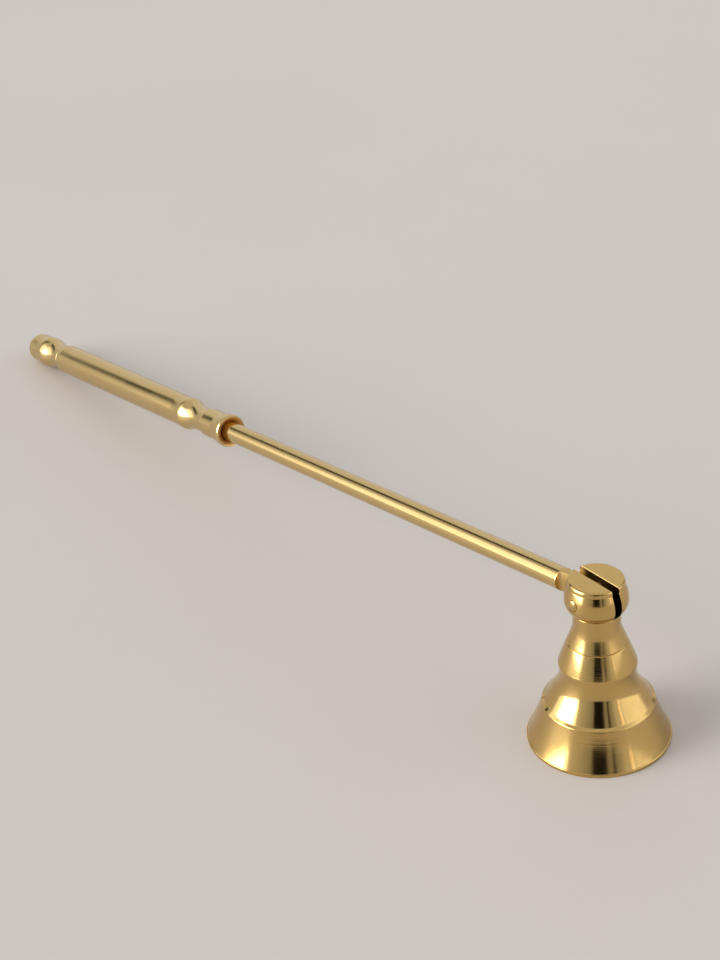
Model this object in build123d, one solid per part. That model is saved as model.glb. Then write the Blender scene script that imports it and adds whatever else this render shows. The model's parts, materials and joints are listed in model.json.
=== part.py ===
from build123d import *
from math import asin, cos, degrees, hypot, radians, sin, tan
import os

# A brass candle snuffer: a turned bell that stands on its rim, a slotted knuckle screwed on top of it,
# and a long round stick that swings in the slot about a rivet and lies down to the table behind.
# All lengths are in millimetres. The origin is the centre of the bell's rim, on the table. The bell's
# axis is +Z, and the stick leaves the knuckle towards -X. Heights of the bell go up from its rim, and
# stations of the stick go out from the rivet.

# Bell, in tiers from the rim up: each height is that of one stretch of the outline
rim_radius = 18.5
rim_height = 0.7
rim_chamfer = 0.25
bell_wall = 1.2
skirt_height = 10.1
skirt_top_radius = 14.4
skirt_turn = -33.0
lower_edge_height = 0.65
lower_edge_radius = 13.6
lower_slope_height = 3.6
lower_slope_radius = 11.4
lower_cove_height = 6.9
waist_radius = 9.9
lower_cove_turn = -44.0
upper_edge_height = 1.25
upper_edge_radius = 9.85
upper_slope_height = 3.8
upper_slope_radius = 8.0
shoulder_height = 1.85
shoulder_radius = 7.65
shoulder_turn = 21.0
groove_width = 0.3
groove_depth = 0.25
neck_foot_radius = 7.6
neck_taper_height = 4.7
neck_height = 4.1
neck_radius = 6.05
neck_chamfer = 0.15
ceiling_drop = 0.7
ceiling_chamfer = 1.0

# Knuckle, the slotted ball on the neck, with its threaded shank through the bell's crown
knuckle_base_radius = 6.15
knuckle_base_chamfer = 0.12
ball_lower_height = 4.2
ball_lower_turn = 68.0
ball_upper_height = 3.55
ball_radius = 8.03
ball_centre_height = 4.9
ring_groove_width = 0.25
ring_groove_depth = 0.15
band_height = 1.2
band_radius = 7.0
crown_chamfer = 0.12
slot_width = 2.24
slot_web = 0.61
slot_floor_clearance = 0.2
shank_radius = 2.5
shank_spare = 1.2
shank_chamfer = 0.3
shank_clearance = 0.05

# Nut and lock washer that hold the knuckle from inside the bell
nut_flats = 8.0
nut_height = 3.2
nut_chamfer = 0.5
washer_radius = 4.3
washer_height = 1.0
washer_gap = 0.8
washer_gap_slant = 20.0

# Rivet, the hinge of the stick
rivet_radius = 1.25
rivet_hole_clearance = 0.02
rivet_head_radius = 1.5
rivet_head_edge = 0.2
rivet_dome_turn = 26.0
head_seat_depth = 0.3
head_seat_clearance = 0.08

# Rod, with its milled tongue and its threaded tail. The spare swing is what the slot leaves below rest
rod_radius = 3.0
swing_spare = 1.2
tongue_side_clearance = 0.12
hinge_clearance = 0.05
tongue_station = 12.0
tongue_corner = 1.4
tail_radius = 2.0
tail_clearance = 0.05
tail_grip = 12.0
tail_chamfer = 0.3

# Collar in front of the grip, flared towards its dished front
collar_station = 165.9
collar_length = 11.7
collar_rear_radius = 4.45
collar_rear_chamfer = 0.35
collar_front_radius = 5.05
collar_band_length = 1.6
collar_nose_length = 1.0
collar_lip_radius = 4.65
collar_lip_turn = 60.0
collar_dish_depth = 1.8
collar_dish_turn = -40.0
collar_seat_depth = 4.0
rod_fit_clearance = 0.04
seam_chamfer = 0.12

# Grip, the barrel of the handle, with a hollowed neck behind the collar
grip_length = 93.2
grip_radius = 4.9
grip_front_end_radius = 4.2
grip_neck_length = 11.7
grip_neck_turn = -27.0
grip_bead_radius = 5.08
grip_bead_length = 2.8
grip_bead_slope = 2.6
grip_rear_end_radius = 4.4
grip_rear_end_length = 3.0
grip_rear_turn = 24.0
hole_spare = 1.0

# Knob at the stick's far end, hollowed behind the grip
knob_length = 22.1
knob_front_radius = 4.3
knob_neck_length = 10.2
knob_neck_turn = -24.0
knob_bead_radius = 5.15
knob_bead_slope = 2.8
knob_radius = 4.85
spigot_radius = 2.0
spigot_length = 8.0

overrun = 1.0

# Places that follow from the sizes
skirt_foot = rim_height + rim_chamfer
skirt_top = skirt_foot + skirt_height
lower_edge_top = skirt_top + lower_edge_height
lower_slope_top = lower_edge_top + lower_slope_height
waist = lower_slope_top + lower_cove_height
upper_edge_top = waist + upper_edge_height
upper_slope_top = upper_edge_top + upper_slope_height
shoulder_top = upper_slope_top + shoulder_height
neck_foot = shoulder_top + groove_width
neck_taper_top = neck_foot + neck_taper_height
seat = neck_taper_top + neck_height
ceiling = waist - ceiling_drop
bore_radius = shank_radius + shank_clearance
nut_top = ceiling - washer_height
nut_bottom = nut_top - nut_height
shank_end = nut_bottom - shank_spare
slot_floor = seat + slot_web
head_seat = ball_radius - head_seat_depth
tongue_half = slot_width / 2 - tongue_side_clearance
rod_end_station = collar_station + collar_seat_depth
grip_station = collar_station + collar_length
tail_end_station = grip_station + tail_grip
knob_station = grip_station + grip_length
knob_centre_station = knob_station + knob_length - knob_radius

# The rivet's height and the tilt at rest settle together: the knob lies on the table, and the lower
# side of the tongue clears the slot's floor by its clearance when the stick drops by its spare swing
rest_tilt = 0
for _ in range(20):
    lowest = radians(rest_tilt + swing_spare)
    tongue_drop = rod_radius / cos(lowest) + knuckle_base_radius * tan(lowest)
    pin_height = slot_floor + slot_floor_clearance + tongue_drop
    rest_tilt = degrees(asin((pin_height - knob_radius) / knob_centre_station))

# The stick's own frame: its Z runs from the rivet to the knob, and its Y is the rivet's axis
stick = Plane(
    origin=(0, 0, pin_height),
    x_dir=(sin(radians(rest_tilt)), 0, -cos(radians(rest_tilt))),
    z_dir=(-cos(radians(rest_tilt)), 0, -sin(radians(rest_tilt))),
)


def bow(start, end, turn):
    """An arc of that many degrees; on the way up an outline, a positive turn swells away from the axis."""
    chord = hypot(end[0] - start[0], end[1] - start[1])
    rise = chord / 2 * tan(radians(turn) / 4)
    return SagittaArc(start, end, -rise)


def turned(*edges):
    """The solid that a closed outline of (radius, height) sweeps about the Z axis."""
    return revolve(Plane.XZ * make_face(list(edges)), Axis.Z)


def lathe(points, turns):
    """The edges along an outline, each bowed by its turn, or straight where that is zero."""
    return [
        bow(a, b, turn) if turn else Line(a, b)
        for a, b, turn in zip(points, points[1:], turns)
    ]


def middle(start, end, turn):
    """The middle point of such an arc."""
    point = bow(start, end, turn) @ 0.5
    return (point.X, point.Y)


def crown_rise(radius, turn):
    """How far an arc of that turn rises from that radius to the axis, where it lies level."""
    return radius * tan(radians(turn) / 2)


def bell():
    """The hollow bell: three tiers, a grooved shoulder and a neck, bored for the knuckle's shank."""
    outside = [
        (rim_radius, 0),
        (rim_radius, rim_height),
        (rim_radius - rim_chamfer, skirt_foot),
        (skirt_top_radius, skirt_top),
        (lower_edge_radius, lower_edge_top),
        (lower_slope_radius, lower_slope_top),
        (waist_radius, waist),
        (upper_edge_radius, upper_edge_top),
        (upper_slope_radius, upper_slope_top),
        (shoulder_radius, shoulder_top),
        (shoulder_radius - groove_depth, (shoulder_top + neck_foot) / 2),
        (neck_foot_radius, neck_foot),
        (neck_radius, neck_taper_top),
        (neck_radius, seat - neck_chamfer),
        (neck_radius - neck_chamfer, seat),
    ]
    turns = [
        0, 0, skirt_turn, 0, 0, lower_cove_turn, 0,
        0, shoulder_turn, 0, 0, 0, 0, 0,
    ]
    # Inside, plain cones follow the outline one wall further in
    skirt_middle = middle(outside[2], outside[3], skirt_turn)
    cove_middle = middle(outside[5], outside[6], lower_cove_turn)
    inside = [
        (rim_radius - bell_wall, 0),
        (skirt_middle[0] - bell_wall, skirt_middle[1]),
        (skirt_top_radius - bell_wall, skirt_top),
        (lower_slope_radius - bell_wall, lower_slope_top),
        (cove_middle[0] - bell_wall, cove_middle[1]),
        (cove_middle[0] - bell_wall, ceiling - ceiling_chamfer),
        (cove_middle[0] - bell_wall - ceiling_chamfer, ceiling),
        (bore_radius, ceiling),
        (bore_radius, seat),
    ]
    return turned(
        *lathe(outside, turns),
        *lathe(inside, [0] * 8),
        Line(outside[0], inside[0]),
        Line(outside[-1], inside[-1]),
    )


def knuckle():
    """The slotted ball, turned in one piece with its shank, and drilled across for the rivet."""
    ball_centre = seat + ball_centre_height
    ball_middle = seat + ball_lower_height
    ball_top = ball_middle + ball_upper_height
    ball_middle_lean = asin((ball_middle - ball_centre) / ball_radius)
    ball_top_lean = asin((ball_top - ball_centre) / ball_radius)
    ball_top_radius = ball_radius * cos(ball_top_lean)
    band_foot = ball_top + ring_groove_width
    band_top = band_foot + band_height
    crown = band_top + crown_chamfer
    outline = [
        (0, shank_end),
        (shank_radius - shank_chamfer, shank_end),
        (shank_radius, shank_end + shank_chamfer),
        (shank_radius, seat),
        (knuckle_base_radius - knuckle_base_chamfer, seat),
        (knuckle_base_radius, seat + knuckle_base_chamfer),
        (ball_radius * cos(ball_middle_lean), ball_middle),
        (ball_top_radius, ball_top),
        (ball_top_radius - ring_groove_depth, (ball_top + band_foot) / 2),
        (ball_top_radius, band_foot),
        (band_radius, band_top),
        (band_radius - crown_chamfer, crown),
        (0, crown),
    ]
    ball_upper_turn = degrees(ball_top_lean - ball_middle_lean)
    turns = [0, 0, 0, 0, 0, ball_lower_turn, ball_upper_turn, 0, 0, 0, 0, 0]
    body = turned(*lathe(outline, turns), Line(outline[-1], outline[0]))
    reach = ball_radius + overrun
    slot_height = crown - slot_floor + overrun
    slot = Pos(0, 0, slot_floor + slot_height / 2) * Box(2 * reach, slot_width, slot_height)
    across = Pos(0, 0, pin_height) * Rot(90, 0, 0)
    hole = across * Cylinder(rivet_radius + rivet_hole_clearance, 2 * reach)
    seat_depth = reach - head_seat
    seats = [
        across * Pos(0, 0, side * (head_seat + seat_depth / 2))
        * Cylinder(rivet_head_radius + head_seat_clearance, seat_depth)
        for side in (1, -1)
    ]
    return body - slot - hole - seats[0] - seats[1]


def rivet():
    """The rivet along Y: a plain shank with a low domed head on each cheek of the knuckle."""
    edge = head_seat + rivet_head_edge
    tip = edge + crown_rise(rivet_head_radius, rivet_dome_turn)
    half = [
        (rivet_radius, 0),
        (rivet_radius, head_seat),
        (rivet_head_radius, head_seat),
        (rivet_head_radius, edge),
        (0, tip),
    ]
    upper = lathe(half, [0, 0, 0, rivet_dome_turn])
    lower = [edge.mirror(Plane.XZ) for edge in upper]
    body = turned(*upper, *lower, Line((0, tip), (0, -tip)))
    return Pos(0, 0, pin_height) * Rot(90, 0, 0) * body


def lock_washer():
    """A split spring washer, pressed flat between the nut and the crown."""
    ring = Pos(0, 0, nut_top + washer_height / 2) * (
        Cylinder(washer_radius, washer_height) - Cylinder(bore_radius, washer_height)
    )
    cut_length = washer_radius + overrun
    cut = Box(cut_length, washer_gap, washer_height + 2 * overrun)
    cut = Pos(cut_length / 2, 0, nut_top + washer_height / 2) * Rot(washer_gap_slant, 0, 0) * cut
    return ring - cut


def nut():
    """A hexagon nut on the shank, its corners turned away top and bottom."""
    corner_radius = nut_flats / 2 / cos(radians(30))
    blank = Pos(0, 0, nut_bottom) * extrude(RegularPolygon(corner_radius, 6), nut_height)
    fall = nut_chamfer * tan(radians(30))
    turning = turned(
        Line((0, nut_bottom), (corner_radius - nut_chamfer, nut_bottom)),
        Line((corner_radius - nut_chamfer, nut_bottom), (corner_radius, nut_bottom + fall)),
        Line((corner_radius, nut_bottom + fall), (corner_radius, nut_top - fall)),
        Line((corner_radius, nut_top - fall), (corner_radius - nut_chamfer, nut_top)),
        Line((corner_radius - nut_chamfer, nut_top), (0, nut_top)),
        Line((0, nut_top), (0, nut_bottom)),
    )
    bore = Pos(0, 0, nut_bottom + nut_height / 2) * Cylinder(bore_radius, nut_height)
    return (blank & turning) - bore


def rod():
    """The long rod: a tongue milled flat at the rivet, and a threaded tail into the grip."""
    outline = [
        (0, -rod_radius),
        (rod_radius, -rod_radius),
        (rod_radius, rod_end_station),
        (tail_radius, rod_end_station),
        (tail_radius, tail_end_station - tail_chamfer),
        (tail_radius - tail_chamfer, tail_end_station),
        (0, tail_end_station),
    ]
    bar = turned(*lathe(outline, [0] * 6), Line(outline[-1], outline[0]))
    # The milled side is the same both ways: flat along the tongue, then a round corner up to the shoulder
    outer = rod_radius + overrun
    corner_foot = tongue_station - tongue_corner
    corner = bow(
        (corner_foot, tongue_half), (tongue_station, tongue_half + tongue_corner), -90
    )
    pocket = make_face(
        [
            Line((-outer, tongue_half), (corner_foot, tongue_half)),
            corner,
            Line((tongue_station, tongue_half + tongue_corner), (tongue_station, outer)),
            Line((tongue_station, outer), (-outer, outer)),
            Line((-outer, outer), (-outer, tongue_half)),
        ]
    )
    side = Plane(origin=(0, 0, 0), x_dir=(0, 0, 1), z_dir=(1, 0, 0))
    milled = extrude(side * pocket, outer, both=True)
    # The end of the tongue is round about the rivet
    block_length = 2 * outer
    end_block = Pos(0, 0, -block_length / 2) * Box(block_length, block_length, block_length)
    round_end = Rot(90, 0, 0) * Cylinder(rod_radius, block_length)
    eye = Rot(90, 0, 0) * Cylinder(rivet_radius + hinge_clearance, block_length)
    return bar - milled - Rot(0, 0, 180) * milled - (end_block - round_end) - eye


def collar():
    """The collar, clamped between the rod's shoulder and the grip, with a dished front face."""
    rear = collar_length
    recess_radius = rod_radius + rod_fit_clearance
    band_end = collar_nose_length + collar_band_length
    outline = [
        (recess_radius, collar_dish_depth),
        (collar_lip_radius, 0),
        (collar_front_radius, collar_nose_length),
        (collar_front_radius, band_end),
        (collar_rear_radius, rear - collar_rear_chamfer),
        (collar_rear_radius - collar_rear_chamfer, rear),
        (tail_radius + tail_clearance, rear),
        (tail_radius + tail_clearance, collar_seat_depth),
        (recess_radius, collar_seat_depth),
    ]
    turns = [-collar_dish_turn, collar_lip_turn, 0, 0, 0, 0, 0, 0]
    ring = turned(*lathe(outline, turns), Line(outline[-1], outline[0]))
    return Pos(0, 0, collar_station) * ring


def grip():
    """The barrel: a hollowed neck, a low bead, the long round body and a rounded rear end."""
    hole_radius = tail_radius + tail_clearance
    front_hole = tail_grip + hole_spare
    rear_hole = grip_length - spigot_length - hole_spare
    spigot_hole = spigot_radius + tail_clearance
    bead_end = grip_neck_length + grip_bead_length
    outline = [
        (0, front_hole),
        (hole_radius, front_hole),
        (hole_radius, 0),
        (grip_front_end_radius - seam_chamfer, 0),
        (grip_front_end_radius, seam_chamfer),
        (grip_bead_radius, grip_neck_length),
        (grip_bead_radius, bead_end),
        (grip_radius, bead_end + grip_bead_slope),
        (grip_radius, grip_length - grip_rear_end_length),
        (grip_rear_end_radius, grip_length - seam_chamfer),
        (grip_rear_end_radius - seam_chamfer, grip_length),
        (spigot_hole, grip_length),
        (spigot_hole, rear_hole),
        (0, rear_hole),
    ]
    turns = [0, 0, 0, 0, grip_neck_turn, 0, 0, 0, grip_rear_turn, 0, 0, 0, 0]
    barrel = turned(*lathe(outline, turns), Line(outline[-1], outline[0]))
    return Pos(0, 0, grip_station) * barrel


def knob():
    """The round-ended knob, with a hollowed neck, a bead and a threaded spigot into the grip."""
    outline = [
        (0, -spigot_length),
        (spigot_radius - tail_chamfer, -spigot_length),
        (spigot_radius, tail_chamfer - spigot_length),
        (spigot_radius, 0),
        (knob_front_radius - seam_chamfer, 0),
        (knob_front_radius, seam_chamfer),
        (knob_bead_radius, knob_neck_length),
        (knob_radius, knob_neck_length + knob_bead_slope),
        (knob_radius, knob_length - knob_radius),
        (0, knob_length),
    ]
    turns = [0, 0, 0, 0, 0, knob_neck_turn, 0, 0, 90]
    body = turned(*lathe(outline, turns), Line(outline[-1], outline[0]))
    return Pos(0, 0, knob_station) * body


upright = {
    "bell": bell(),
    "knuckle": knuckle(),
    "rivet": rivet(),
    "lock_washer": lock_washer(),
    "nut": nut(),
}
on_stick = {"rod": rod(), "collar": collar(), "grip": grip(), "knob": knob()}

os.makedirs("parts", exist_ok=True)
for name, piece in upright.items():
    export_step(piece, f"parts/{name}.step")
for name, piece in on_stick.items():
    export_step(stick.location * piece, f"parts/{name}.step")

print("rest tilt", round(rest_tilt, 3), "pin height", round(pin_height, 4))
print("far end", round(knob_station + knob_length, 2), "nut bottom", round(nut_bottom, 3))
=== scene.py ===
import json
from math import asin, atan2, cos, hypot, pi, radians, sin, tan

import bmesh
import bpy
from mathutils import Matrix, Vector


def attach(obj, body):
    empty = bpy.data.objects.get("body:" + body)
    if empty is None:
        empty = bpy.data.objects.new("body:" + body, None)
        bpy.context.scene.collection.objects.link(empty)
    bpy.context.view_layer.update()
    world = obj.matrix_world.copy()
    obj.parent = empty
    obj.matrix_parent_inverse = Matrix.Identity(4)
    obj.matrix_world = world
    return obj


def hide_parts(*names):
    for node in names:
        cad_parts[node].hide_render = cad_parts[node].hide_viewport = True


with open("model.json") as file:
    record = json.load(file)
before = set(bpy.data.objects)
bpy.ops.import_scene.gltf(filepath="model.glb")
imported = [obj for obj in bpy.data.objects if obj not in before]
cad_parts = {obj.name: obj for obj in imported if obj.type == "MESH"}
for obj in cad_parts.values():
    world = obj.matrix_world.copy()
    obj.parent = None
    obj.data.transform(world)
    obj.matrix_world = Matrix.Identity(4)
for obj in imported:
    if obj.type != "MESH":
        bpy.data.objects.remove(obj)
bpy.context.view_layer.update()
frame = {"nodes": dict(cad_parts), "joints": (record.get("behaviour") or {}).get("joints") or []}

# A brass candle snuffer. Outlines are in millimetres: (radius, height) for what stands on the bell's
# axis, and (radius, station) along the stick, where a station is the distance from the rivet.
MM = 0.001

# Heights and radii that two pieces share, in millimetres
BELL_TOP = 38.2
CEILING = 21.5
SHANK_RADIUS = 2.5
SHANK_HOLE = 2.55
SLOT_HALF = 1.12
SLOT_FLOOR = 38.81
HEAD_SEAT = 7.73

# Stations and radii along the stick
ROD_RADIUS = 3.0
TAIL_RADIUS = 2.0
TAIL_HOLE = 2.05
TONGUE_END = 12.0
COLLAR_SEAT = 169.9
COLLAR_HOLE = 3.04
GRIP_FRONT = 177.6
GRIP_REAR = 270.8

# The stick's lie, from the hinge and the knob that rests on the table
PIN = Vector(frame["joints"][0]["pos_m"])
KNOB_RADIUS = 4.85
KNOB_CENTRE = 288.05
TILT = asin((PIN.z / MM - KNOB_RADIUS) / KNOB_CENTRE)

# Faces around a turned piece, around the rivet and around a drilled hole
ROUND = 256
RIVET_ROUND = 96
HOLE_ROUND = 64

# Neighbouring faces shade as one surface up to this angle, and a cut's edge is softened above the other
CREASE = radians(32)
CUT_EDGE = radians(50)


# Outputs of the Texture Coordinate node
GENERATED = 0
OBJECT = 3


class Shade:
    """A socket of a node tree. Arithmetic on it adds the Math nodes that it needs."""

    def __init__(self, tree, socket=None):
        self.tree = tree
        self.socket = socket

    def node(self, kind, settings=None, sockets=None, out=0):
        """Adds a node, with its settings first and then the values or links of its sockets."""
        made = self.tree.nodes.new(kind)
        for name, value in (settings or {}).items():
            if name == "stops":
                ramp = made.color_ramp.elements
                while len(ramp) < len(value):
                    ramp.new(0.5)
                for stop, (place, colour) in zip(ramp, value):
                    stop.position = place
                    stop.color = colour
            else:
                setattr(made, name, value)
        for key, value in (sockets or {}).items():
            if isinstance(value, Shade):
                self.tree.links.new(value.socket, made.inputs[key])
            else:
                made.inputs[key].default_value = value
        return Shade(self.tree, made.outputs[out])

    def math(self, operation, *operands):
        """A Math node on the operands, which are sockets or numbers."""
        return self.node("ShaderNodeMath", {"operation": operation}, dict(enumerate(operands)))

    def vector(self, operation, a, b, out=0):
        """A Vector Math node. Its output 1 is a number."""
        return self.node("ShaderNodeVectorMath", {"operation": operation}, {0: a, 1: b}, out)

    def mix(self, share, a, b):
        """A colour between two others."""
        return self.node("ShaderNodeMix", {"data_type": "RGBA"}, {0: share, 6: a, 7: b}, 2)

    def split(self):
        """The three parts of a vector."""
        first = self.node("ShaderNodeSeparateXYZ", None, {0: self})
        return [Shade(self.tree, out) for out in first.socket.node.outputs]

    def join(self, x, y, z):
        """A vector from three parts."""
        return self.node("ShaderNodeCombineXYZ", None, {0: x, 1: y, 2: z})

    def place(self):
        """Where a point of the piece is in the part's own frame, in metres."""
        return self.node("ShaderNodeTexCoord", None, None, OBJECT)

    def noise(self, place, scale, detail=2.0, roughness=0.5):
        """Cloudy values about 0.5 at a place."""
        return self.node(
            "ShaderNodeTexNoise", None,
            {"Vector": place, "Scale": scale, "Detail": detail, "Roughness": roughness},
        )

    def feed(self, shader, name):
        """Links this to a shader's input."""
        self.tree.links.new(self.socket, shader.inputs[name])

    def step(self, low, high):
        """0 below low, 1 above high, and smooth between them."""
        return self.node(
            "ShaderNodeMapRange", {"interpolation_type": "SMOOTHSTEP"},
            {"Value": self, "From Min": low, "From Max": high},
        )

    def __add__(self, other):
        return self.math("ADD", self, other)

    def __radd__(self, other):
        return self.math("ADD", other, self)

    def __sub__(self, other):
        return self.math("SUBTRACT", self, other)

    def __rsub__(self, other):
        return self.math("SUBTRACT", other, self)

    def __mul__(self, other):
        return self.math("MULTIPLY", self, other)

    def __rmul__(self, other):
        return self.math("MULTIPLY", other, self)

    def __truediv__(self, other):
        return self.math("DIVIDE", self, other)

    def __abs__(self):
        return self.math("ABSOLUTE", self)


def grey(level):
    return (level, level, level, 1.0)


def new_material(name, metallic=1.0):
    """A new material, its Principled shader, and a start for its nodes."""
    material = bpy.data.materials.new(name)
    material.use_nodes = True
    tree = material.node_tree
    shader = tree.nodes["Principled BSDF"]
    shader.inputs["Metallic"].default_value = metallic
    return material, shader, Shade(tree)


RAW_ROUGHNESS = 0.42


def turned_brass(name, colour, warm, dark, gloss, line_depth, line_scale, axis, shade_or_bare_marks):
    """Lathe-turned brass: fine lines round an axis, a little handling and a deeper tone in patches.

    The axis is None for the bell's own, or the stick's matrix for what is turned along the stick. The
    last argument is a function that gives a mask, the colour there, and what is added to the roughness
    elsewhere. In the knuckle's slot that colour is painted shade; on the tongue's flats and in the
    collar's dish the mask marks rougher brass, and the dish is redder."""
    material, shader, start = new_material(name)
    place = start.place()
    if axis is not None:
        # In the stick's own frame the turning axis is Z. Output 1 of a dot product is its value.
        turned = []
        inverse = axis.inverted()
        for row in range(3):
            dot = start.vector("DOT_PRODUCT", place, tuple(inverse[row][:3]), 1)
            turned.append(dot + inverse[row][3])
        place = start.join(*turned)
    x, y, z = place.split()
    radius = start.math("SQRT", x * x + y * y)
    along = z + radius * 0.45
    # Lines left by the lathe, long around the piece and narrow along it
    lines = start.noise(start.join(x * 18.0, y * 18.0, along * line_scale), 1.0, 3.0, 0.65)
    patches = start.noise(place, 55.0, 3.0, 0.55).step(0.38, 0.66)
    handling = start.noise(place, 190.0, 4.0, 0.6).step(0.45, 0.75)
    tone = start.mix(patches * 0.55, (*colour, 1.0), (*warm, 1.0))
    tone = start.mix(handling * 0.22 + lines.step(0.5, 0.72) * 0.12, tone, (*dark, 1.0))
    rough = gloss + patches * 0.03 + handling * 0.045 + (lines - 0.5) * 0.08
    # In the knuckle's slot the colour given here is painted shade, near black inside and lighter at the
    # mouth
    shade_or_bare, shade_or_bare_colour, dull = shade_or_bare_marks(start, x, y, z, radius)
    tone = start.mix(shade_or_bare, tone, shade_or_bare_colour)
    tone.feed(shader, "Base Color")
    rough = rough + dull
    rough = rough + shade_or_bare * (RAW_ROUGHNESS - rough)
    rough.feed(shader, "Roughness")
    bump = start.node(
        "ShaderNodeBump", None, {"Height": lines, "Strength": 0.5, "Distance": line_depth}
    )
    bump.feed(shader, "Normal")
    return material


def painted_slot_shade(start, x, y, z, radius):
    """Painted shade on the walls and the floor of the knuckle's slot: near black inside, and brighter at
    the mouth that the stick leaves by, where the light falls in. The bell's neck is duller than the rest."""
    inside = 1 - abs(y).step((SLOT_HALF + 0.003) * MM, (SLOT_HALF + 0.008) * MM)
    inside = inside * z.step((SLOT_FLOOR - 0.11) * MM, (SLOT_FLOOR - 0.06) * MM)
    mouth = 1 - x.step(-6.5 * MM, -4.0 * MM)
    # Painted shade: near black deep in the slot, lighter brass towards the mouth where light falls in
    colour = start.mix(mouth, (0.07, 0.04, 0.015, 1.0), (0.45, 0.31, 0.12, 1.0))
    neck = z.step(23 * MM, 30 * MM) * (1 - z.step(37 * MM, 38 * MM))
    return inside, colour, neck * 0.06


def milled_tongue(start, x, y, z, radius):
    """The flats of the rod's tongue, and the dish in the collar's front."""
    flats = 1 - z.step((TONGUE_END + 0.02) * MM, (TONGUE_END + 0.06) * MM)
    dish = z.step(165.7 * MM, 165.9 * MM) * (1 - z.step(167.65 * MM, 167.75 * MM))
    dish = dish * radius.step(3.01 * MM, 3.03 * MM) * (1 - radius.step(4.45 * MM, 4.6 * MM))
    colour = start.mix(dish, (0.60, 0.42, 0.16, 1.0), (0.62, 0.36, 0.13, 1.0))
    return flats + dish, colour, 0.0


def washer_steel():
    """Zinc-plated spring steel."""
    material, shader, start = new_material("washer_steel")
    clouds = start.noise(start.place(), 700.0, 3.0, 0.6)
    start.mix(clouds, (0.50, 0.50, 0.51, 1.0), (0.62, 0.62, 0.64, 1.0)).feed(shader, "Base Color")
    (0.28 + clouds * 0.14).feed(shader, "Roughness")
    return material


def plain_brass():
    """Brass as the bar stock comes, with a thin brown tarnish."""
    material, shader, start = new_material("plain_brass")
    clouds = start.noise(start.place(), 420.0, 4.0, 0.6).step(0.35, 0.7)
    start.mix(clouds, (0.70, 0.53, 0.26, 1.0), (0.50, 0.33, 0.14, 1.0)).feed(shader, "Base Color")
    (0.26 + clouds * 0.16).feed(shader, "Roughness")
    return material


def plain_floor():
    """A pale, warm grey table top, faintly uneven."""
    material, shader, start = new_material("table_top", metallic=0.0)
    place = start.place()
    clouds = start.noise(place, 6.0, 3.0, 0.5)
    tone = start.mix(clouds, (0.542, 0.501, 0.469, 1.0), (0.572, 0.531, 0.498, 1.0))
    tone.feed(shader, "Base Color")
    grain = start.noise(place, 900.0, 2.0, 0.5)
    (0.5 + grain * 0.1).feed(shader, "Roughness")
    shader.inputs["Specular IOR Level"].default_value = 0.3
    return material


# Outlines and their solids of revolution

# Straight runs above the first length get a point this far from each end
LONG_RUN = 1.5
RUN_END = 0.5
# The longest step of an arc, in degrees and in millimetres
ARC_DEGREES = 2.5
ARC_STEP = 0.45
# Places along a rounded corner's curve
CORNER_PLACES = (0, 0.17, 0.33, 0.5, 0.67, 0.83, 1)


def arc(start, end, turn):
    """Points from start to end, without the start, along an arc of that many degrees.

    A positive turn swells away from the axis on the way up. A long straight run gets a point near each
    end, so that the smoothed corners don't tilt the shading of all of it."""
    if not turn:
        length = hypot(end[0] - start[0], end[1] - start[1])
        if length < LONG_RUN:
            return [end]
        shares = (RUN_END / length, 1 - RUN_END / length)
        return [tuple(a + (b - a) * share for a, b in zip(start, end)) for share in shares] + [end]
    half = radians(turn) / 2
    mid = ((start[0] + end[0]) / 2, (start[1] + end[1]) / 2)
    run = (end[0] - start[0], end[1] - start[1])
    chord = hypot(*run)
    side = (run[1] / chord, -run[0] / chord)
    to_centre = chord / 2 / tan(half)
    centre = (mid[0] - side[0] * to_centre, mid[1] - side[1] * to_centre)
    radius = hypot(start[0] - centre[0], start[1] - centre[1])
    first = atan2(start[1] - centre[1], start[0] - centre[0])
    steps = max(4, int(abs(turn) / ARC_DEGREES), int(chord / ARC_STEP))
    return [
        (
            centre[0] + radius * cos(first + 2 * half * k / steps),
            centre[1] + radius * sin(first + 2 * half * k / steps),
        )
        for k in range(1, steps)
    ] + [end]


def outline(*stations):
    """Points through stations (radius, height, turn, softness); each turn is that of the arc that arrives
    there, and a softness rounds the corner at the station over that length."""
    points = []
    corners = {}
    for station in stations:
        r, z, turn, soft = (*station, 0, 0)[:4]
        points += arc(points[-1], (r, z), turn) if points else [(r, z)]
        if soft:
            corners[len(points) - 1] = soft
    rounded = []
    for k, point in enumerate(points):
        if k not in corners:
            rounded.append(point)
            continue
        soft = corners[k]
        ends = []
        for other in (points[k - 1], points[(k + 1) % len(points)]):
            gap = hypot(other[0] - point[0], other[1] - point[1])
            share = min(soft / gap, 0.48)
            ends.append([point[i] + (other[i] - point[i]) * share for i in (0, 1)])
        for t in CORNER_PLACES:
            a, b, c = (1 - t) ** 2, 2 * t * (1 - t), t * t
            rounded.append(tuple(a * ends[0][i] + b * point[i] + c * ends[1][i] for i in (0, 1)))
    return rounded


def to_mesh(name, made):
    """A mesh of the faces made, which all look outwards."""
    bmesh.ops.recalc_face_normals(made, faces=made.faces[:])
    mesh = bpy.data.meshes.new(name)
    made.to_mesh(mesh)
    made.free()
    return mesh


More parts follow.
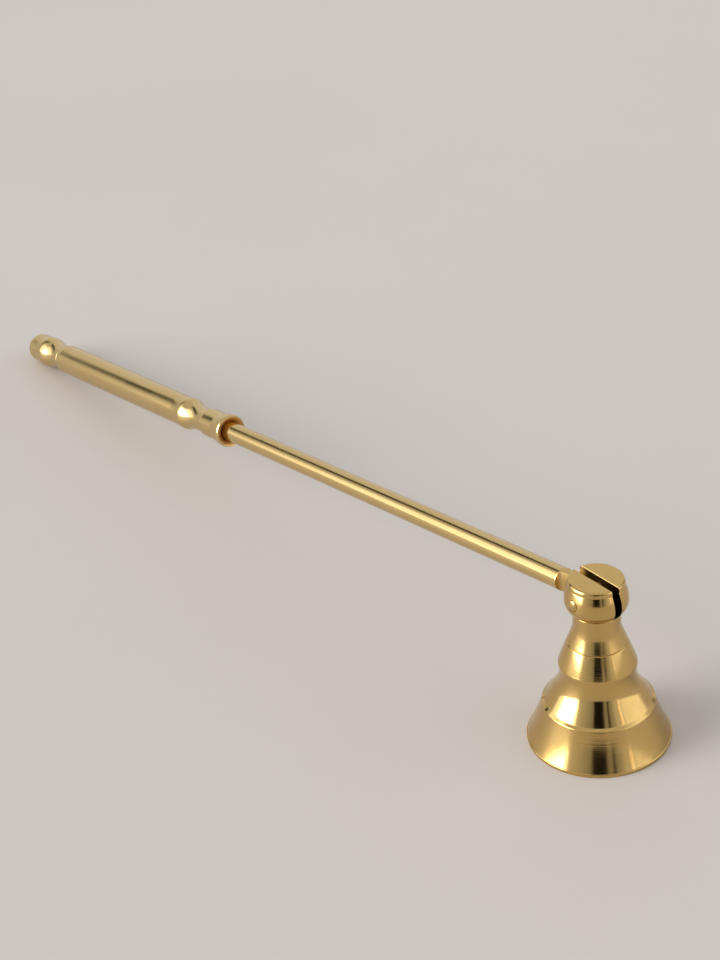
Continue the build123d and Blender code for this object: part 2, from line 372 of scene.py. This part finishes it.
def lathe(name, points, around=ROUND, closed=True):
    """A mesh that the outline sweeps about Z, in metres. An outline that starts and ends on the axis
    isn't closed there."""
    mesh = bmesh.new()
    rings = []
    for r, z in points:
        if r < 1e-6:
            rings.append([mesh.verts.new((0, 0, z * MM))])
            continue
        ring = []
        for k in range(around):
            turn = 2 * pi * k / around
            ring.append(mesh.verts.new((r * MM * cos(turn), r * MM * sin(turn), z * MM)))
        rings.append(ring)
    pairs = list(zip(rings, rings[1:]))
    if closed:
        pairs.append((rings[-1], rings[0]))
    for low, high in pairs:
        if len(low) == 1 and len(high) == 1:
            continue
        for k in range(around):
            j = (k + 1) % around
            corners = [low[k % len(low)], low[j % len(low)], high[j % len(high)], high[k % len(high)]]
            mesh.faces.new(list(dict.fromkeys(corners)))
    return to_mesh(name, mesh)


def prism(name, points, low, high):
    """A straight-sided solid: points (x, z) swept along Y from low to high, all in millimetres."""
    mesh = bmesh.new()
    sides = [[mesh.verts.new((x * MM, y * MM, z * MM)) for x, z in points] for y in (low, high)]
    mesh.faces.new(sides[0])
    mesh.faces.new(sides[1])
    for k in range(len(points)):
        j = (k + 1) % len(points)
        mesh.faces.new([sides[0][k], sides[0][j], sides[1][j], sides[1][k]])
    return to_mesh(name, mesh)


def placed(name, data):
    """A new object in the scene, with a mesh or a camera as its data."""
    thing = bpy.data.objects.new(name, data)
    bpy.context.scene.collection.objects.link(thing)
    return thing


def bake(thing):
    """Applies a thing's modifiers."""
    bpy.context.view_layer.update()
    view = bpy.context.evaluated_depsgraph_get()
    mesh = bpy.data.meshes.new_from_object(thing.evaluated_get(view))
    thing.modifiers.clear()
    thing.data = mesh


def cut(thing, cutters, edge=0.0):
    """Takes the cutters out of a thing, and softens the edges by that width in millimetres."""
    for cutter in cutters:
        tool = placed("cutter", cutter)
        modifier = thing.modifiers.new("cut", "BOOLEAN")
        modifier.operation = "DIFFERENCE"
        modifier.solver = "EXACT"
        modifier.object = tool
        bake(thing)
        bpy.data.objects.remove(tool)
    if edge:
        soft = thing.modifiers.new("edge", "BEVEL")
        soft.width = edge * MM
        soft.segments = 2
        soft.limit_method = "ANGLE"
        soft.angle_limit = CUT_EDGE
        soft.use_clamp_overlap = True
        bake(thing)


def finish_piece(thing, material, body, node):
    """Smooths a piece's shading up to the crease angle, gives it its finish and body, and hides its CAD
    part.
    """
    mesh = thing.data
    mesh.polygons.foreach_set("use_smooth", [True] * len(mesh.polygons))
    mesh.set_sharp_from_angle(angle=CREASE)
    mesh.materials.clear()
    mesh.materials.append(material)
    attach(thing, body)
    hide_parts(node)


# The stick's own frame: Z runs from the rivet to the knob, and Y is the rivet's axis
out_along = Vector((-cos(TILT), 0, -sin(TILT)))
down_across = Vector((sin(TILT), 0, -cos(TILT)))
stick_frame = Matrix.Translation(PIN) @ Matrix(
    (down_across, out_along.cross(down_across), out_along)
).transposed().to_4x4()
# The rivet's frame: Z runs along the hinge
rivet_frame = Matrix.Translation(PIN) @ Matrix.Rotation(pi / 2, 4, "X")


# The polished brass carries painted shade in the knuckle's slot
polished = turned_brass(
    "polished_brass", (0.62, 0.42, 0.155), (0.60, 0.39, 0.13), (0.46, 0.29, 0.09),
    0.085, 0.000018, 5200.0, None, painted_slot_shade,
)
satin = turned_brass(
    "satin_brass", (0.64, 0.465, 0.20), (0.61, 0.43, 0.17), (0.48, 0.33, 0.12),
    0.115, 0.000008, 2600.0, stick_frame, milled_tongue,
)


def bell():
    """The hollow bell in three tiers, with a grooved shoulder and a neck."""
    points = outline(
        (18.5, 0, 0, 0.12),
        (18.5, 0.7),
        (18.25, 0.95, 90),
        (14.4, 11.05, -8, 0.12),
        (13.6, 11.7, 0, 0.1),
        (11.4, 15.3),
        (9.9, 22.2, -44, 0.1),
        (9.85, 23.35, 40, 0.15),
        (7.68, 29.1, 4, 0.06),
        (7.42, 29.25),
        (7.62, 29.4, 0, 0.06),
        (6.3, 33.0, -3),
        (6.05, 34.6, -14),
        (6.05, 38.05),
        (5.9, BELL_TOP),
        (SHANK_HOLE, BELL_TOP),
        (SHANK_HOLE, CEILING),
        (7.78, CEILING),
        (8.78, 20.5, -60),
        (8.78, 18.6),
        (10.2, 15.3, 18),
        (13.2, 11.05),
        (17.3, 0, 33, 0.12),
    )
    return placed("bell_turned", lathe("bell_turned", points))


def knuckle():
    """The slotted ball, with its shank down through the bell's crown."""
    points = outline(
        (0, 16.1),
        (2.2, 16.1),
        (SHANK_RADIUS, 16.4),
        (SHANK_RADIUS, BELL_TOP),
        (6.03, BELL_TOP),
        (6.15, 38.32, 0, 0.05),
        (8.02, 42.4, 68),
        (7.77, 44.1, 17),
        (7.12, 45.9, 3, 0.08),
        (7.02, 46.03),
        (7.28, 46.15, 0, 0.06),
        (7.12, 47.0),
        (6.55, 47.52, 60),
        (0, 47.52),
    )
    thing = placed("knuckle_slotted", lathe("knuckle_slotted", points, closed=False))
    # Half of the slot, as (distance from the middle, height). A file has broken its top edges.
    half = [(SLOT_HALF, SLOT_FLOOR), (SLOT_HALF, 47.38), (1.42, 47.68), (1.42, 49)]
    slot = prism("slot", half + [(-y, z) for y, z in reversed(half)], -9, 9)
    slot.transform(Matrix.Rotation(pi / 2, 4, "Z"))
    seats = []
    for side in (1, -1):
        points = [(0, HEAD_SEAT), (1.58, HEAD_SEAT), (1.58, 9.2), (0, 9.2)]
        seat = lathe("seat", points, HOLE_ROUND, closed=False)
        seat.transform(Matrix.Translation(PIN) @ Matrix.Rotation(-side * pi / 2, 4, "X"))
        seats.append(seat)
    hole = lathe("hole", [(0, -8.6), (1.27, -8.6), (1.27, 8.6), (0, 8.6)], HOLE_ROUND, closed=False)
    hole.transform(rivet_frame)
    cut(thing, [slot, hole, *seats])
    return thing


def rivet():
    """The rivet, with a low domed head in each cheek."""
    half = outline((1.25, 0), (1.25, HEAD_SEAT), (1.5, HEAD_SEAT), (1.5, 8.0, 0, 0.1), (0, 8.4, 30))
    points = [(r, -z) for r, z in reversed(half)][:-1] + half
    mesh = lathe("rivet_set", points, RIVET_ROUND, closed=False)
    mesh.transform(rivet_frame)
    return placed("rivet_set", mesh)


def rod():
    """The rod, milled to a tongue at the rivet, with a threaded tail into the grip."""
    points = outline(
        (0, -3.2),
        (ROD_RADIUS, -3.2),
        (ROD_RADIUS, TONGUE_END + 0.8),
        (ROD_RADIUS, COLLAR_SEAT),
        (TAIL_RADIUS, COLLAR_SEAT),
        (TAIL_RADIUS, 189.3),
        (1.7, 189.6),
        (0, 189.6),
    )
    mesh = lathe("rod_milled", points, closed=False)
    mesh.transform(stick_frame)
    thing = placed("rod_milled", mesh)
    # One side's pocket, as (station, distance from the middle), and the same on the other side
    radius = 1.4
    flat = 1.0
    corner = [
        (
            TONGUE_END - radius + radius * sin(radians(a)),
            flat + radius - radius * cos(radians(a)),
        )
        for a in range(0, 91, 10)
    ]
    pocket = [(-5, flat), *corner, (TONGUE_END, 5), (-5, 5)]
    cutters = []
    for side in (1, -1):
        block = prism("pocket", [(t, side * y) for t, y in pocket], -5, 5)
        block.transform(stick_frame @ Matrix(((0, 1, 0), (0, 0, 1), (1, 0, 0))).to_4x4())
        cutters.append(block)
    # The tongue's end is round about the rivet
    end = [
        (ROD_RADIUS * sin(radians(a)), -ROD_RADIUS * cos(radians(a))) for a in range(-90, 91, 5)
    ]
    block = prism("end", [*end, (5, 0), (5, -5), (-5, -5), (-5, 0)], -5, 5)
    block.transform(stick_frame)
    cutters.append(block)
    cut(thing, cutters, edge=0.1)
    return thing


def collar():
    """The collar, flared to a thin lip and dished in front where the rod enters it."""
    points = outline(
        (COLLAR_HOLE, 167.1),
        (4.68, 165.9, 40, 0.08),
        (5.05, 167.2, 60),
        (4.92, 169.0, 6),
        (4.6, 171.6, -10),
        (4.46, 177.4, 0, 0.05),
        (4.4, 177.5),
        (3.95, 177.5),
        (3.95, GRIP_FRONT),
        (TAIL_HOLE, GRIP_FRONT),
        (TAIL_HOLE, COLLAR_SEAT),
        (COLLAR_HOLE, COLLAR_SEAT),
    )
    mesh = lathe("collar_dished", points)
    mesh.transform(stick_frame)
    return placed("collar_dished", mesh)


def grip():
    """The barrel, with a hollowed neck and a low bead in front and a rounded rear end."""
    points = outline(
        (0, 190.6),
        (TAIL_HOLE, 190.6),
        (TAIL_HOLE, GRIP_FRONT),
        (3.95, GRIP_FRONT),
        (3.95, 177.7),
        (4.14, 177.7),
        (4.2, 177.8, 0, 0.05),
        (3.88, 182.4, -8),
        (4.4, 186.9, -14),
        (5.02, 188.9, 12),
        (5.08, 190.0, 14),
        (4.9, 194.4, -3),
        (4.9, 267.8),
        (4.42, 270.6, 24, 0.05),
        (4.36, 270.7),
        (3.9, 270.7),
        (3.9, GRIP_REAR),
        (TAIL_HOLE, GRIP_REAR),
        (TAIL_HOLE, 261.8),
        (0, 261.8),
    )
    mesh = lathe("grip_barrel", points, closed=False)
    mesh.transform(stick_frame)
    return placed("grip_barrel", mesh)


def knob():
    """The round-ended knob, with a hollowed neck, a bead and its spigot in the grip."""
    points = outline(
        (0, 262.8),
        (1.7, 262.8),
        (TAIL_RADIUS, 263.1),
        (TAIL_RADIUS, GRIP_REAR),
        (3.9, GRIP_REAR),
        (3.9, 270.9),
        (4.24, 270.9),
        (4.3, 271.0, 0, 0.05),
        (4.15, 273.4, -6),
        (4.5, 277.6, -12),
        (5.06, 280.3, 8),
        (5.14, 281.6, 10),
        (4.87, 284.8, 5),
        (KNOB_RADIUS, KNOB_CENTRE),
        (0, KNOB_CENTRE + KNOB_RADIUS, 90),
    )
    mesh = lathe("knob_round", points, closed=False)
    mesh.transform(stick_frame)
    return placed("knob_round", mesh)


finish_piece(bell(), polished, "head", "bell")
finish_piece(knuckle(), polished, "head", "knuckle")
finish_piece(rivet(), polished, "head", "rivet")
finish_piece(rod(), satin, "stick", "rod")
finish_piece(collar(), satin, "stick", "collar")
finish_piece(grip(), satin, "stick", "grip")
finish_piece(knob(), satin, "stick", "knob")
for name, material in (("lock_washer", washer_steel()), ("nut", plain_brass())):
    for slot in frame["nodes"][name].material_slots:
        slot.material = material


# The table, the room and the camera

def floor():
    """A round table top, in metres."""
    mesh = bpy.data.meshes.new("table")
    sides = 96
    reach = 4.0
    turns = [2 * pi * k / sides for k in range(sides)]
    ring = [(reach * cos(turn), reach * sin(turn), 0) for turn in turns]
    mesh.from_pydata(ring, [], [list(range(sides))])
    thing = placed("table", mesh)
    mesh.materials.append(plain_floor())


floor()

# Where the camera stands and how it looks, its roll about its own line of sight, and its lens
EYE = Vector((322.24, -288.76, 339.23)) * MM
HEADING = radians(55.49)
PITCH = radians(31.01)
ROLL = radians(-4.996)
FOCAL_PIXELS = 2119
LONG_SIDE_PIXELS = 960
SENSOR = 36.0

right = Vector((cos(HEADING), sin(HEADING), 0))
ahead = Vector((-sin(HEADING) * cos(PITCH), cos(HEADING) * cos(PITCH), -sin(PITCH)))
above = right.cross(ahead)
camera_data = bpy.data.cameras.new("camera")
camera_data.sensor_width = SENSOR
camera_data.lens = FOCAL_PIXELS * SENSOR / LONG_SIDE_PIXELS
camera = placed("camera", camera_data)
level = right * cos(ROLL) + above * sin(ROLL)
upright = above * cos(ROLL) - right * sin(ROLL)
camera.matrix_world = Matrix.Translation(EYE) @ Matrix((level, upright, -ahead)).transposed().to_4x4()
bpy.context.scene.camera = camera


# The brightness or the colour of the walls all around, by degrees to the left from the line
# between the bell and the camera
WALLS = (
    (0, 0.006), (10, 0.006), (13, 0.17), (25, 0.24), (40, 0.33), (52, 0.42), (60, 0.3), (126, 0.33),
    (134, 0.36), (142, 0.4), (218, 0.4), (221, 0.16), (226, 0.16), (229, 0.3), (248, 0.4), (256, 0.72),
    (280, 0.75), (304, 0.64), (306, 0.34), (309, (0.95, 0.9, 0.88, 1.0)), (311, (0.8, 0.68, 0.6, 1.0)),
    (315, 0.28), (318, 0.4), (329, 0.22), (335, 0.17), (337, 0.015), (339, 0.015), (341, 0.19),
    (347, 0.165), (350, 0.006),
)
CEILING_LIGHT = 0.35
WINDOW_LIGHT = 3.3
WINDOW_GLOW = 0.62
POST_DARKNESS = 0.96
ROOM_STRENGTH = 2.0


def studio():
    """A soft room: a broad bright window on the left, pale walls, and the dark gap at the camera."""
    world = bpy.data.worlds.new("studio")
    bpy.context.scene.world = world
    world.use_nodes = True
    tree = world.node_tree
    start = Shade(tree)
    x, y, z = start.node("ShaderNodeTexCoord", None, None, GENERATED).split()
    turn = start.math("FRACT", (atan2(EYE.y, EYE.x) - start.math("ARCTAN2", y, x)) / (2 * pi))
    left = turn * 360
    stops = [
        (place / 360, level if isinstance(level, tuple) else grey(level)) for place, level in WALLS
    ]
    wall = start.node("ShaderNodeValToRGB", {"stops": stops}, {0: turn})
    room = start.mix(z.step(0.6, 0.85), wall, grey(CEILING_LIGHT))
    # The window is brightest in its middle, and fades towards the far end of the table
    core = left.step(47, 60) * (1 - left.step(83, 97))
    fading = left.step(46, 58) * (1 - (left - z * 21).step(98, 107.5))
    window = (core * WINDOW_LIGHT + fading * WINDOW_GLOW) * z.step(-0.05, 0.02)
    window = window * (1 - z.step(0.55, 0.75))
    # A dark post leans beside it, and is wider at its top
    lean = left - z * 69 - 97.5
    post = 1 - (abs(lean) - z * 22).step(-5.6, -3.4)
    post = post * z.step(0.18, 0.28) * (1 - z.step(0.6, 0.75))
    light = start.vector("ADD", room, start.join(window, window, window))
    shade = 1 - post * POST_DARKNESS
    light = start.vector("MULTIPLY", light, start.join(shade, shade, shade))
    background = tree.nodes["Background"]
    light.feed(background, "Color")
    background.inputs["Strength"].default_value = ROOM_STRENGTH


studio()
bpy.context.scene.view_settings.view_transform = "Standard"
